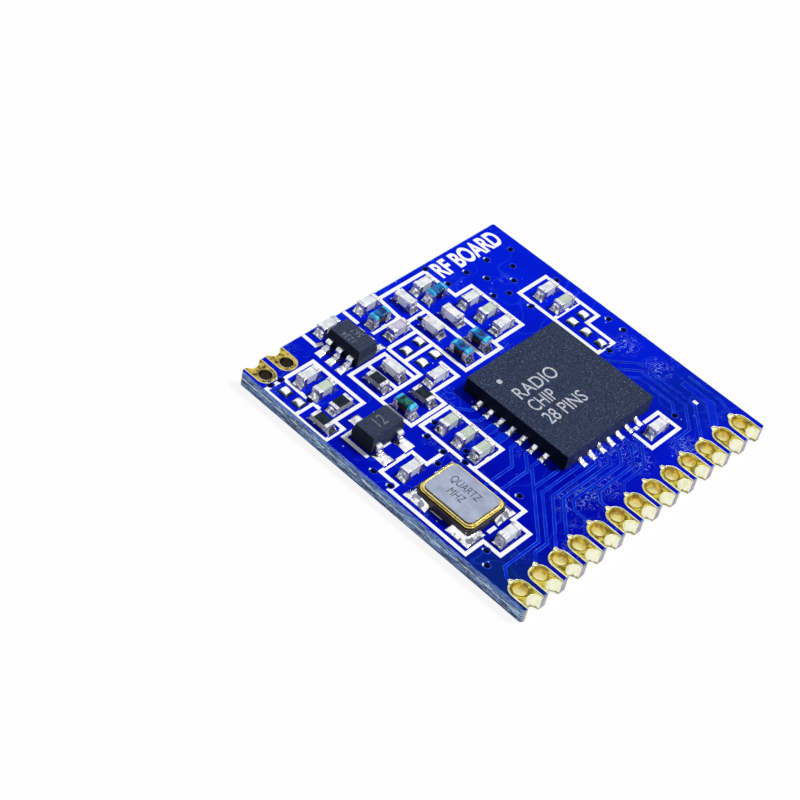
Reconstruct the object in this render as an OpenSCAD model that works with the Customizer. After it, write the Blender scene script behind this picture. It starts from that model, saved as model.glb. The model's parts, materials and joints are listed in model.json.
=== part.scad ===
// Small radio transceiver module: a blue two-sided circuit board with plated edge pads,
// a leadless radio chip, a crystal, an antenna switch, a small transistor and chip passives.
// The origin is the centre of the board's underside. The row of pin pads is at the front (-Y).

/* [Board] */
// Width of the board, along the row of pin pads
board_w = 16.7; // [16.7:0.1:24]
// Length of the board, from the pin pads to the antenna pads
board_l = 16.8; // [16.8:0.1:24]
// Thickness of the bare laminate
laminate_t = 0.72; // [0.5:0.02:1.6]
// Thickness of the solder mask, and of the copper lands that lie in its openings
mask_t = 0.04; // [0.02:0.01:0.1]
// Radius of the board's corners
corner_r = 0.15; // [0.05:0.01:0.16]
// Height of the ridge that a track leaves in the solder mask
ridge_t = 0.012; // [0.005:0.001:0.02]
// Thickness of the white legend ink
ink_t = 0.02; // [0.01:0.005:0.03]
// Width of the white legend lines
ink_w = 0.19; // [0.1:0.01:0.25]
// Bare strip between the legend and a land or hole
ink_gap = 0.07; // [0.03:0.01:0.15]

/* [Edge pads] */
// Distance from one edge pad to the next
pad_pitch = 1.27; // [1.15:0.01:1.28]
// Sideways shift of the row of pin pads from the board's middle
pin_row_x = -0.055; // [-0.1:0.005:0.1]
// Width of an edge pad
pad_w = 1.0; // [0.97:0.01:1.05]
// Inside diameter of the plated hole in an edge pad
pad_hole_d = 0.67; // [0.5:0.01:0.75]
// Inside diameter of the plated half hole in a pin pad's edge
notch_d = 0.84; // [0.6:0.01:0.9]
// Inside diameter of the plated notch in an antenna pad's edge
antenna_notch_d = 0.9; // [0.6:0.01:0.95]
// How far the antenna notch's centre lies outside the edge
antenna_notch_out = 0.2; // [0.1:0.01:0.3]
// Metal left between a pad's hole and its notch
pad_web = 0.1; // [0.08:0.01:0.3]
// Thickness of the copper and gold plating in holes
plating_t = 0.025; // [0.015:0.005:0.035]
// How far a pad's teardrop reaches past its round end
teardrop_l = 0.13; // [0.05:0.01:0.2]
// How much wider a teardrop is at its foot than at its tip
teardrop_flare = 0.34; // [0.2:0.02:0.4]

/* [Vias and tracks] */
// Diameter of a via's open hole
via_d = 0.26; // [0.15:0.01:0.35]
// Width of a signal track
track_w = 0.13; // [0.08:0.01:0.2]
// Width of the supply and antenna tracks
wide_track_w = 0.36; // [0.25:0.01:0.45]

/* [Solder] */
// Thickness of the solder film under a terminal
solder_t = 0.03; // [0.025:0.005:0.06]
// Height of the solder at the ends of a capacitor or an inductor
fillet_h = 0.3; // [0.15:0.01:0.3]
// Height of the solder at the ends of a resistor
resistor_fillet_h = 0.24; // [0.1:0.01:0.25]
// Height of the solder at the corners of the crystal
crystal_fillet_h = 0.16; // [0.05:0.01:0.25]
// Height of the solder domes on lands that carry no part
dome_h = 0.13; // [0.05:0.01:0.2]

/* [Radio chip] */
// Middle of the chip, across the board
chip_x = 1.75; // [1.5:0.05:2]
// Middle of the chip, along the board
chip_y = -1.43; // [-1.6:0.01:-1.2]
// Side of the chip's square body
chip_w = 6.0; // [5.5:0.05:6.2]
// Height of the chip's body
chip_h = 0.85; // [0.5:0.05:1.2]
// Contacts on each side of the chip
chip_side_count = 7; // [1:1:7]
// Distance between the chip's contacts
chip_pitch = 0.65; // [0.5:0.01:0.7]
// Width of a chip contact
contact_w = 0.3; // [0.2:0.01:0.36]
// Length of a chip contact
contact_l = 0.55; // [0.3:0.01:0.6]
// Thickness of the chip's copper frame
contact_t = 0.2; // [0.1:0.01:0.3]
// Side of the chip's bare heat pad
heat_pad_w = 4.1; // [3:0.1:4.3]
// How far a chip land reaches past the body
chip_land_out = 0.42; // [0.2:0.01:0.5]

/* [Crystal] */
// Width of the crystal
crystal_w = 2.5; // [2.2:0.05:2.7]
// Length of the crystal
crystal_l = 3.2; // [2.9:0.05:3.4]
// Height of its ceramic base
crystal_base_h = 0.42; // [0.3:0.01:0.7]
// Height of the gold seal ring on the base
seal_h = 0.14; // [0.06:0.01:0.25]
// Step from the base's edge in to the seal ring
seal_inset = 0.07; // [0.02:0.01:0.12]
// Width of the seal ring that shows round the lid
seal_w = 0.17; // [0.08:0.01:0.25]
// Thickness of the metal lid
lid_t = 0.08; // [0.04:0.01:0.15]
// Corner radius of the lid
lid_r = 0.28; // [0.1:0.01:0.4]

/* [Leaded parts] */
// Length of the antenna switch's body
switch_l = 2.0; // [1.8:0.05:2.2]
// Width of the antenna switch's body
switch_w = 1.25; // [1.1:0.05:1.35]
// Length of the transistor's body
transistor_l = 2.0; // [1.8:0.05:2.2]
// Width of the transistor's body
transistor_w = 1.25; // [1.1:0.05:1.35]
// Height of these bodies
small_body_h = 0.9; // [0.7:0.05:1.1]
// Gap between the board and these bodies
standoff = 0.07; // [0.03:0.01:0.12]
// Distance between neighbouring leads
lead_pitch = 0.65; // [0.6:0.01:0.7]
// Width of a lead
lead_w = 0.3; // [0.15:0.01:0.34]
// Thickness of a lead
lead_t = 0.12; // [0.08:0.01:0.15]
// How far a lead reaches out from the body
lead_reach = 0.44; // [0.4:0.01:0.5]
// Taper of the moulded bodies' sides, per side
draft = 0.08; // [0.02:0.01:0.12]

/* [Chip passives] */
// Length of a chip passive
chip_part_l = 1.0; // [0.9:0.01:1.08]
// Width of a chip passive
chip_part_w = 0.5; // [0.4:0.01:0.55]
// Height of a capacitor
capacitor_h = 0.5; // [0.4:0.01:0.6]
// Height of a resistor
resistor_h = 0.35; // [0.25:0.01:0.45]
// Height of an inductor with its coating
inductor_h = 0.6; // [0.5:0.01:0.75]
// Length of a capacitor's or a resistor's terminal along the part
terminal_l = 0.18; // [0.12:0.01:0.25]
// Length of an inductor's foot along the part
foot_l = 0.24; // [0.15:0.01:0.3]
// Thickness of a terminal's metal
terminal_t = 0.025; // [0.01:0.005:0.04]
// Rounding of the parts' long edges
part_edge_r = 0.05; // [0.03:0.01:0.08]
// Length of a land under a chip passive
land_l = 0.48; // [0.4:0.01:0.55]
// Width of a land under a chip passive
land_w = 0.55; // [0.5:0.01:0.6]
// Bare strip between a chip passive's two lands
land_gap = 0.4; // [0.3:0.01:0.5]
// Thickness of an inductor's coating
coating_t = 0.12; // [0.06:0.01:0.2]
// Turns of wire on an inductor
coil_turns = 6; // [3:1:8]

/* [Hidden] */
$fn = 32;
tiny = 0.01;

board_t = laminate_t + 2 * mask_t;
laminate_top = mask_t + laminate_t;
seat_z = board_t + solder_t;

// Edge pads: front edge at -Y with half holes on the edge, back edge at +Y with shallow notches
pin_count = 13;
antenna_count = 2;
antenna_web = pad_web + 0.15;
front_y = -board_l / 2;
back_y = board_l / 2;
pin_hole_in = notch_d / 2 + pad_web + pad_hole_d / 2;
antenna_hole_in = antenna_notch_d / 2 - antenna_notch_out + antenna_web + pad_hole_d / 2;
function pad_x(i) = pin_row_x + (i - (pin_count - 1) / 2) * pad_pitch;

// Direction and tip width of each pin pad's teardrop, where its track leaves
teardrops = [
    [0, 0.08], [-25, 0.08], [-30, 0.08], [0, 0.08], [0, 0.08], [0, 0.08], [0, 0.08],
    [0, 0.08], [0, 0.08], [-10, 0.08], [-28, 0.08], [-2, 0.16], [0, 0.2]
];
// How deep a teardrop's foot lies inside the round end
teardrop_grip = 0.15;

// Chip passives: [x, y, quarter turns]
capacitors = [
    [-6.4, 6.22, 0], [-6.4, 5.25, 0], [-3.5, 7.93, 0], [-0.98, 7.9, 0], [-1.02, 5.92, 0],
    [0.62, 7.02, 1], [2.09, 7.25, 0], [0.42, 5.05, 1], [1.72, 5.05, 1], [3.23, 5.27, 0],
    [3.27, 4.22, 0], [3.2, 3.22, 0], [-3.03, 4.25, 1], [-1.72, 2.8, 0], [6.7, 3.5, 0],
    [6.7, 2.46, 0], [-3.37, 0.49, 0], [-3.37, -0.5, 0], [-3.41, -1.5, 0], [-6.68, -0.36, 0],
    [-6.05, -5.38, 0], [4.0, -5.45, 0]
];
resistors = [[-7.75, 3.95, 1], [-6.4, 4.2, 0], [-4.07, 4.22, 1], [-3.07, 2.35, 1]];
inductors = [
    [-1.2, 6.95, 0], [2.15, 6.5, 0], [0.33, 3.2, 1], [1.55, 3.2, 1], [-4.25, 2.35, 1]
];
// Lands that carry no part
spare_lands = [
    [-7.68, 6.28], [-7.68, 5.45], [-1.52, 4.85], [-0.62, 4.9], [-1.48, 3.88], [-0.62, 3.9],
    [6.25, 1.45], [7.05, 1.45], [6.25, 0.62], [6.25, -0.28]
];

switch_at = [-3.57, 6.4];
transistor_at = [-6.38, 2.0];
crystal_at = [-6.27, -2.85];
crystal_land = [1.15, 1.28];
crystal_land_gap = [0.8, 1.16];

vias = [
    [3.34, 6.76], [4.65, 6.79], [6.12, 6.79], [7.65, 6.63], [5.15, 5.91], [4.52, 4.91],
    [6.12, 5.04], [5.27, 4.6], [6.84, 5.76], [7.85, 3.82], [5.44, 3.35], [7.87, 0.54],
    [7.87, -0.37], [6.24, -0.85], [5.46, -5.38], [-3.88, -4.16], [-7.82, -5.84],
    [-7.25, -5.29], [-7.88, 0.69], [-7.9, -0.34], [-4.58, 0.66], [-4.66, -0.4],
    [-5.35, -0.72], [-3.71, 1.01], [-3.82, -0.98], [-4.36, -1.4], [-7.2, 5.3],
    [-7.92, 6.99], [-7.35, 6.96], [0.51, 5.9], [3.2, 8.12]
];

// White legend lines, each a chain of points
legend_lines = [
    [[-8.3, 6.9], [-5.4, 6.9], [-5.4, 3.75], [-7.2, 3.75], [-7.2, 3.18], [-8.3, 3.18], [-8.3, 6.9]],
    [[-7.2, 6.9], [-7.2, 4.75]],
    [[-8.3, 5.05], [-7.2, 5.05]],
    [[-4.62, 8.3], [-4.62, 7.55], [-4.35, 7.47]],
    [[-2.05, 8.3], [-2.05, 7.5]],
    [[-4.69, 5.3], [-2.46, 5.3], [-2.46, 3.42]],
    [[-3.58, 5.3], [-3.58, 3.42]],
    [[-0.22, 5.45], [-2.1, 5.45], [-2.1, 3.42], [-4.69, 3.42]],
    [[-2.1, 4.42], [-0.22, 4.42]],
    [[-4.69, 5.3], [-4.69, 1.52], [-2.5, 1.52], [-2.5, 2.34], [-0.78, 2.34], [-0.78, 3.35]],
    [[-1.9, 6.55], [-0.22, 6.55]],
    [[-0.1, 8.0], [3.02, 8.0], [3.02, 6.0], [4.15, 6.0], [4.15, 2.78], [2.3, 2.78]],
    [[-0.1, 8.0], [-0.22, 6.55], [-0.22, 2.36], [2.18, 2.36], [2.18, 4.65]],
    [[1.1, 8.0], [1.1, 2.36]],
    [[-0.22, 6.12], [1.1, 6.12]],
    [[5.66, 4.29], [7.6, 4.29], [7.6, 1.0], [6.79, 1.0], [6.79, -0.62], [5.66, -0.62], [5.66, 4.29]],
    [[5.66, 2.13], [7.6, 2.13]],
    [[3.0, -4.79], [4.97, -4.79], [4.97, -6.0], [3.0, -6.0], [3.0, -4.79]],
    [[-6.9, 2.84], [-7.52, 2.84], [-7.52, 1.47]],
    [[-6.65, 1.43], [-6.15, 1.43]],
    [[-4.35, 1.25], [-2.48, 1.25], [-2.48, -1.9], [-4.35, -1.9]],
    [[-4.35, 1.25], [-4.35, -4.87], [-5.13, -4.87], [-5.13, -5.84], [-7.0, -5.84], [-7.0, -4.87],
        [-8.1, -4.87], [-8.1, -0.47], [-7.66, -0.47], [-7.66, 0.47], [-5.77, 0.47],
        [-5.77, -0.46], [-4.35, -0.46]],
    [[-7.45, -2.4], [-7.45, -2.9]],
    [[-6.4, -4.68], [-6.1, -4.68]],
    [[-6.4, -0.6], [-6.05, -0.6]],
    [[6.89, -5.5], [6.89, -5.44]]
];

// Signal tracks that show as ridges in the mask; the front ones run from the chip to the pin pads
chip_front_y = chip_y - chip_w / 2;
chip_left_x = chip_x - chip_w / 2;
chip_right_x = chip_x + chip_w / 2;
function contact_at(i) = (i - (chip_side_count - 1) / 2) * chip_pitch;
function front_x(i) = chip_x + contact_at(i);
function side_y(i) = chip_y - contact_at(i);
chip_reach = chip_land_out;
pad_top_y = front_y + pin_hole_in + pad_w / 2;
tracks = [
    [[chip_left_x - 0.2, -4.25], [-3.05, -4.25], [-5.15, -6.35], [-7.3, -6.35],
        [pad_x(0), pad_top_y + 0.25], [pad_x(0), pad_top_y]],
    [[front_x(0), chip_front_y - chip_reach], [front_x(0) - 0.2, -4.65], [-2.95, -4.65],
        [-4.95, -6.65], [-5.7, -6.65], [pad_x(1) + 0.25, pad_top_y]],
    [[front_x(1), chip_front_y - chip_reach], [front_x(1), -4.9], [front_x(1) - 0.17, -5.07],
        [-2.75, -5.07], [pad_x(2) + 0.3, pad_top_y]],
    [[front_x(2), chip_front_y - chip_reach], [front_x(2) - 0.1, -5.15], [front_x(2) - 0.38, -5.43],
        [-2.45, -5.43], [pad_x(3), -6.8], [pad_x(3), pad_top_y]],
    [[front_x(3), chip_front_y - chip_reach], [front_x(3) - 0.1, -5.22], [front_x(3) - 0.66, -5.78],
        [-2.2, -5.78], [pad_x(4), -6.2], [pad_x(4), pad_top_y]],
    [[front_x(4), chip_front_y - chip_reach], [front_x(4) - 0.1, -5.35], [front_x(4) - 0.9, -6.15],
        [-0.9, -6.15], [pad_x(5), -6.6], [pad_x(5), pad_top_y]],
    [[front_x(5), chip_front_y - chip_reach], [front_x(5) - 0.2, -5.1], [front_x(5) - 0.2, -5.5],
        [1.83, -6.52], [0.35, -6.52], [pad_x(6), -6.9], [pad_x(6), pad_top_y]],
    [[chip_right_x + chip_reach, side_y(2)], [6.72, -2.3], [6.72, -5.55], [pad_x(10) + 0.28, pad_top_y]],
    [[chip_right_x + chip_reach, side_y(3)], [6.36, -2.6], [6.36, -5.28], [5.29, -6.35],
        [4.3, -6.35], [pad_x(9) + 0.12, pad_top_y + 0.12], [pad_x(9) + 0.1, pad_top_y]],
    [[chip_right_x + chip_reach, side_y(4)], [5.94, -2.85], [5.94, -4.85], [5.55, -5.24]],
    [[chip_left_x - chip_reach, side_y(0)], [-1.85, side_y(0)], [-2.36, 1.03], [-2.36, 2.2]],
    [[chip_left_x - chip_reach, side_y(1)], [-2.1, side_y(1)], [-2.65, 0.4]],
    [[chip_left_x - chip_reach, side_y(4)], [-2.12, side_y(4)], [-2.88, -2.83], [-4.9, -2.83]],
    [[chip_left_x - chip_reach, side_y(5)], [-1.85, side_y(5)], [-2.55, -3.43], [-4.9, -3.43]],
    [[chip_left_x - chip_reach, side_y(6)], [-2.2, side_y(6)], [-3.07, -4.25]],
    [[7.97, -4.3], [7.97, -6.1], [pad_x(12) + 0.1, pad_top_y + 0.1]]
];
wide_tracks = [
    [[7.4, -4.5], [7.4, -5.95], [pad_x(11) + 0.1, pad_top_y + 0.1]],
    [[chip_left_x - chip_reach, side_y(2)], [-2.3, side_y(2)]],
    [[chip_left_x - chip_reach, side_y(3)], [-2.35, side_y(3)]]
];

// Land rectangles: [x, y, width, length]
land_off = (land_gap + land_l) / 2;
function along(p, s) = p[2] == 0
    ? [p[0] + s * land_off, p[1], land_l, land_w]
    : [p[0], p[1] + s * land_off, land_w, land_l];
passive_lands = [for (p = concat(capacitors, resistors, inductors), s = [-1, 1]) along(p, s)];
plain_lands = [for (p = spare_lands) [p[0], p[1], land_l, land_w]];
chip_land_l = contact_l + chip_land_out;
chip_land_off = chip_w / 2 - contact_l + chip_land_l / 2;
chip_lands = concat(
    [for (i = [0:chip_side_count - 1], s = [-1, 1])
        [chip_x + contact_at(i), chip_y + s * chip_land_off, contact_w, chip_land_l]],
    [for (i = [0:chip_side_count - 1], s = [-1, 1])
        [chip_x + s * chip_land_off, chip_y + contact_at(i), chip_land_l, contact_w]],
    [[chip_x, chip_y, heat_pad_w, heat_pad_w]]
);
crystal_lands = [for (sx = [-1, 1], sy = [-1, 1]) [
    crystal_at[0] + sx * (crystal_land_gap[0] + crystal_land[0]) / 2,
    crystal_at[1] + sy * (crystal_land_gap[1] + crystal_land[1]) / 2,
    crystal_land[0], crystal_land[1]
]];
foot_land_w = 0.4;
foot_land_l = 0.78;
foot_off = lead_reach - 0.02;
// Feet: [x, y, direction in quarter turns from +X, land width]
switch_feet = [for (s = [-1, 1], i = [-1:1]) [
    switch_at[0] + s * switch_w / 2, switch_at[1] + i * lead_pitch, s < 0 ? 2 : 0, foot_land_w
]];
wide_foot_land_w = 0.62;
transistor_feet = [
    [transistor_at[0] - lead_pitch, transistor_at[1] - transistor_w / 2, 3, wide_foot_land_w],
    [transistor_at[0] + lead_pitch, transistor_at[1] - transistor_w / 2, 3, wide_foot_land_w],
    [transistor_at[0], transistor_at[1] + transistor_w / 2, 1, wide_foot_land_w]
];
function foot_land(f) = f[2] % 2 == 0
    ? [f[0] + (f[2] == 0 ? 1 : -1) * foot_off, f[1], foot_land_l, f[3]]
    : [f[0], f[1] + (f[2] == 1 ? 1 : -1) * foot_off, f[3], foot_land_l];
foot_lands = [for (f = concat(switch_feet, transistor_feet)) foot_land(f)];
all_lands = concat(passive_lands, plain_lands, chip_lands, crystal_lands, foot_lands);

// Inductor: coating on top of a core with two feet
core_h = inductor_h - coating_t;
wire_t = 0.06;
wire_gap = 0.012;
coil_side_gap = 0.04;
coil_foot_gap = 0.06;
shank_w = chip_part_w - 2 * (wire_t + coil_side_gap);
shank_z = terminal_t + wire_t + coil_foot_gap;
shank_h = core_h - shank_z - wire_t;

// Extrudes the outline below it from height z, t thick
module slab(z, t) translate([0, 0, z]) linear_extrude(t) children();

module rounded_rect(w, l, r) {
    square([w - 2 * r, l], center = true);
    square([w, l - 2 * r], center = true);
    for (sx = [-1, 1], sy = [-1, 1]) translate([sx * (w / 2 - r), sy * (l / 2 - r)]) circle(r);
}

// A bar of rounded section lying along X, standing on z = 0 and centred on X
module rounded_bar(l, w, h, r) translate([-l / 2, 0, h / 2])
    rotate([90, 0, 90]) linear_extrude(l) rounded_rect(w, h, r);

module board_outline() rounded_rect(board_w, board_l, corner_r);

module rect_list(rects, grow = 0) for (r = rects)
    translate([r[0], r[1]]) square([r[2] + 2 * grow, r[3] + 2 * grow], center = true);

module via_dots(r) for (v = vias) translate(v) circle(r, $fn = 20);

// A chain of straight strokes of width w with square ends
module strokes(points, w) for (i = [0:len(points) - 2]) {
    step = points[i + 1] - points[i];
    translate(points[i]) rotate(atan2(step[1], step[0]))
        translate([-w / 2, -w / 2]) square([norm(step) + w, w]);
}

// Pads along the edges, drawn with the edge at y = 0 and the board at +Y
module pin_pad_outline(spur) {
    translate([-pad_w / 2, 0]) square([pad_w, pin_hole_in]);
    translate([0, pin_hole_in]) {
        circle(pad_w / 2);
        foot = (spur[1] + teardrop_flare) / 2;
        tip = spur[1] / 2;
        rotate(spur[0]) translate([0, pad_w / 2]) polygon([
            [-foot, -teardrop_grip], [foot, -teardrop_grip], [tip, teardrop_l], [-tip, teardrop_l]
        ]);
    }
}
module antenna_pad_outline() {
    translate([-pad_w / 2, 0]) square([pad_w, antenna_hole_in]);
    translate([0, antenna_hole_in]) circle(pad_w / 2);
}
module pad_outlines() {
    for (i = [0:pin_count - 1]) translate([pad_x(i), front_y]) pin_pad_outline(teardrops[i]);
    for (i = [0:antenna_count - 1])
        translate([pad_x(i), back_y]) mirror([0, 1]) antenna_pad_outline();
}
// The holes and notches of every edge pad, widened by the plating where they are drilled
module pad_holes(extra) {
    for (i = [0:pin_count - 1]) translate([pad_x(i), front_y]) {
        translate([0, pin_hole_in]) circle(pad_hole_d / 2 + extra);
        circle(notch_d / 2 + extra);
    }
    for (i = [0:antenna_count - 1]) translate([pad_x(i), back_y]) {
        translate([0, -antenna_hole_in]) circle(pad_hole_d / 2 + extra);
        translate([0, antenna_notch_out]) circle(antenna_notch_d / 2 + extra);
    }
}

module laminate() color("lightslategray") slab(mask_t, laminate_t) difference() {
    board_outline();
    pad_holes(plating_t);
    via_dots(via_d / 2 + plating_t);
}

module solder_mask_top() color("mediumblue") slab(laminate_top, mask_t) difference() {
    board_outline();
    pad_outlines();
    rect_list(all_lands);
    via_dots(via_d / 2);
}

module solder_mask_bottom() color("mediumblue") slab(0, mask_t) difference() {
    board_outline();
    pad_outlines();
    via_dots(via_d / 2);
}

// One plated pad: a land on each face, and the plated walls of its hole and notch between them
module plated_pad(hole_y, hole_r, notch_y, notch_r) difference() {
    union() {
        for (z = [0, laminate_top]) slab(z, mask_t) intersection() {
            children();
            translate([-pad_w, 0]) square([2 * pad_w, 2 * pad_w]);
        }
        slab(mask_t, laminate_t) intersection() {
            union() {
                translate([0, hole_y]) circle(hole_r + plating_t);
                translate([0, notch_y]) circle(notch_r + plating_t);
            }
            translate([-pad_w, 0]) square([2 * pad_w, 2 * pad_w]);
        }
    }
    translate([0, hole_y, -tiny]) cylinder(r = hole_r, h = board_t + 2 * tiny);
    translate([0, notch_y, -tiny]) cylinder(r = notch_r, h = board_t + 2 * tiny);
}

module castellated_pads() color("gold") for (i = [0:pin_count - 1])
    translate([pad_x(i), front_y, 0])
        plated_pad(pin_hole_in, pad_hole_d / 2, 0, notch_d / 2) pin_pad_outline(teardrops[i]);

module antenna_pads() color("gold") for (i = [0:antenna_count - 1])
    translate([pad_x(i), back_y, 0]) mirror([0, 1, 0])
        plated_pad(antenna_hole_in, pad_hole_d / 2, -antenna_notch_out, antenna_notch_d / 2)
            antenna_pad_outline();

module plated_vias() color("darkgoldenrod") slab(mask_t, laminate_t) difference() {
    via_dots(via_d / 2 + plating_t);
    via_dots(via_d / 2);
}

module part_lands() color("khaki") slab(laminate_top, mask_t) rect_list(all_lands);

module legend_outline() difference() {
    intersection() {
        for (line = legend_lines) strokes(line, ink_w);
        square([board_w - ink_gap, board_l - ink_gap], center = true);
    }
    rect_list(all_lands, ink_gap);
    via_dots(via_d / 2 + ink_gap);
}
module white_legend() color("white") slab(board_t, ink_t) legend_outline();

module track_ridges() color("royalblue") slab(board_t, ridge_t) difference() {
    union() {
        for (line = tracks) strokes(line, track_w);
        for (line = wide_tracks) strokes(line, wide_track_w);
    }
    legend_outline();
    pad_outlines();
    rect_list(all_lands);
    via_dots(via_d / 2);
}

// Radio chip: a sawn leadless body with contacts let into its lower edges
module contact_block() {
    for (turn = [0:3], i = [0:chip_side_count - 1]) rotate(90 * turn)
        translate([contact_at(i) - contact_w / 2, -chip_w / 2, 0]) cube([contact_w, contact_l, contact_t]);
    translate([-heat_pad_w / 2, -heat_pad_w / 2, 0]) cube([heat_pad_w, heat_pad_w, contact_t]);
}
module radio_chip_body() color("#2b2f38") translate([chip_x, chip_y, seat_z]) difference() {
    translate([-chip_w / 2, -chip_w / 2, 0]) cube([chip_w, chip_w, chip_h]);
    contact_block();
}
module radio_chip_contacts() color("silver") translate([chip_x, chip_y, seat_z]) contact_block();

// Crystal: ceramic base with notched corners, gold seal ring and metal lid
module crystal_ring_outline() rounded_rect(
    crystal_w - 2 * seal_inset, crystal_l - 2 * seal_inset, lid_r + seal_w / 2);
module crystal_lid_outline() rounded_rect(
    crystal_w - 2 * (seal_inset + seal_w), crystal_l - 2 * (seal_inset + seal_w), lid_r);
module at_crystal(z) translate([crystal_at[0], crystal_at[1], z]) children();
crystal_corner_r = 0.2;
module crystal_base() color("#2a2230") at_crystal(seat_z) linear_extrude(crystal_base_h)
    difference() {
        square([crystal_w, crystal_l], center = true);
        for (sx = [-1, 1], sy = [-1, 1])
            translate([sx * crystal_w / 2, sy * crystal_l / 2]) circle(crystal_corner_r);
    }
// The ring has a lower step and a narrower upper one, which stands round the lid's foot
seal_step = 0.06;
module crystal_seal_ring() color("gold") at_crystal(seat_z + crystal_base_h) {
    linear_extrude(seal_h - seal_step) crystal_ring_outline();
    translate([0, 0, seal_h - seal_step]) linear_extrude(seal_step) rounded_rect(
        crystal_w - 2 * (seal_inset + seal_w / 2), crystal_l - 2 * (seal_inset + seal_w / 2),
        lid_r + seal_w / 4);
}
module crystal_lid() color("silver") at_crystal(seat_z + crystal_base_h + seal_h)
    linear_extrude(lid_t) crystal_lid_outline();

// A gull-wing lead seen from the side: out of the body at height exit_z, down, and out to a foot
function arc(c, r, from, to, n = 4) = [for (k = [0:n])
    let (a = from + (to - from) * k / n) [c[0] + r * cos(a), c[1] + r * sin(a)]];
function lead_profile(exit_z) =
    let (bend = lead_t, x1 = lead_reach - 2 * bend - 0.14, x2 = x1 + 2 * bend,
        c1 = [x1, exit_z - bend], c2 = [x2, lead_t / 2 + bend], h = lead_t / 2)
    concat(
        [[0, exit_z + h]], arc(c1, bend + h, 90, 0), arc(c2, bend - h, 180, 270),
        [[lead_reach, lead_t], [lead_reach, 0]], arc(c2, bend + h, 270, 180),
        arc(c1, bend - h, 0, 90), [[0, exit_z - h]]);
belt_h = small_body_h * 0.45;
lead_exit = standoff - solder_t + belt_h;
module lead(f) translate([f[0], f[1], seat_z]) rotate(90 * f[2]) translate([0, lead_w / 2, 0])
    rotate([90, 0, 0]) linear_extrude(lead_w) polygon(lead_profile(lead_exit));

module plate(w, l, z, t) translate([-w / 2, -l / 2, z]) cube([w, l, t]);

// A moulded body with tapered sides above and below a belt where its leads come out
module moulded_body(w, l) translate([0, 0, board_t + standoff]) {
    low = belt_h - lead_t / 2;
    high = small_body_h - low - lead_t;
    hull() {
        plate(w - draft, l - draft, 0, tiny);
        plate(w, l, low, lead_t);
        plate(w - 2 * draft, l - 2 * draft, low + lead_t + high - tiny, tiny);
    }
}
module switch_body() color("#26282e") translate([switch_at[0], switch_at[1], 0])
    moulded_body(switch_w, switch_l);
module switch_leads() color("silver") for (f = switch_feet) lead(f);
module transistor_body() color("#26282e") translate([transistor_at[0], transistor_at[1], 0])
    moulded_body(transistor_l, transistor_w);
module transistor_leads() color("silver") for (f = transistor_feet) lead(f);

// Chip passives lie along X at the origin, and are turned and moved into place
module at_part(p) translate([p[0], p[1], seat_z]) rotate(90 * p[2]) children();
between_l = chip_part_l - 2 * terminal_l;
module capacitor(p) color("whitesmoke") at_part(p) inside_caps(capacitor_h);
module inside_caps(h) translate([0, 0, terminal_t]) rounded_bar(chip_part_l - 2 * terminal_t,
    chip_part_w - 2 * terminal_t, h - 2 * terminal_t, part_edge_r - terminal_t);
module between_caps(l) translate([-l / 2, -chip_part_w, -1]) cube([l, 2 * chip_part_w, 3]);
module end_caps(h, gap_l) difference() {
    rounded_bar(chip_part_l, chip_part_w, h, part_edge_r);
    between_caps(gap_l);
    inside_caps(h);
}
module capacitor_terminals() color("silver") for (p = capacitors) at_part(p)
    end_caps(capacitor_h, between_l);

// Resistor: white substrate, black coat on top, metal wrapped round each end
resistor_coat_t = 0.04;
resistor_core_h = resistor_h - 2 * terminal_t;
module resistor(p) color("white") at_part(p) translate([0, 0, terminal_t]) rounded_bar(
    chip_part_l - 2 * terminal_t, chip_part_w, resistor_core_h, tiny);
module resistor_coats() color("#1c1e20") for (p = resistors) at_part(p)
    translate([0, 0, terminal_t + resistor_core_h])
        rounded_bar(between_l, chip_part_w, resistor_coat_t, resistor_coat_t / 3);
module resistor_terminals() color("silver") for (p = resistors) at_part(p) difference() {
    translate([-chip_part_l / 2, -chip_part_w / 2, 0]) cube([chip_part_l, chip_part_w, resistor_h]);
    between_caps(between_l);
    translate([-chip_part_l / 2 + terminal_t, -chip_part_w, terminal_t])
        cube([chip_part_l - 2 * terminal_t, 2 * chip_part_w, resistor_core_h]);
}

// Inductor: ceramic core with a metal-capped foot at each end, wire round its shank and a
// coating on top
coil_l = chip_part_l - 2 * foot_l;
module inductor(p) color("ivory") at_part(p) {
    difference() {
        inside_caps(core_h);
        between_caps(coil_l);
    }
    translate([-coil_l / 2 - tiny, -shank_w / 2, shank_z]) cube([coil_l + 2 * tiny, shank_w, shank_h]);
}
module inductor_terminals() color("silver") for (p = inductors) at_part(p)
    end_caps(core_h, coil_l);
turn_w = coil_l / coil_turns;
module inductor_windings() color("sienna") for (p = inductors) at_part(p)
    for (k = [0:coil_turns - 1])
        translate([-coil_l / 2 + (k + 0.5) * turn_w, 0, shank_z - wire_t]) difference() {
            rounded_bar(turn_w - wire_gap, shank_w + 2 * wire_t, shank_h + 2 * wire_t, wire_t);
            translate([-turn_w, -shank_w / 2, wire_t]) cube([2 * turn_w, shank_w, shank_h]);
        }
module inductor_coatings() color("deepskyblue") for (p = inductors) at_part(p)
    translate([0, 0, core_h]) rounded_bar(chip_part_l, chip_part_w, coating_t, part_edge_r);

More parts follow.
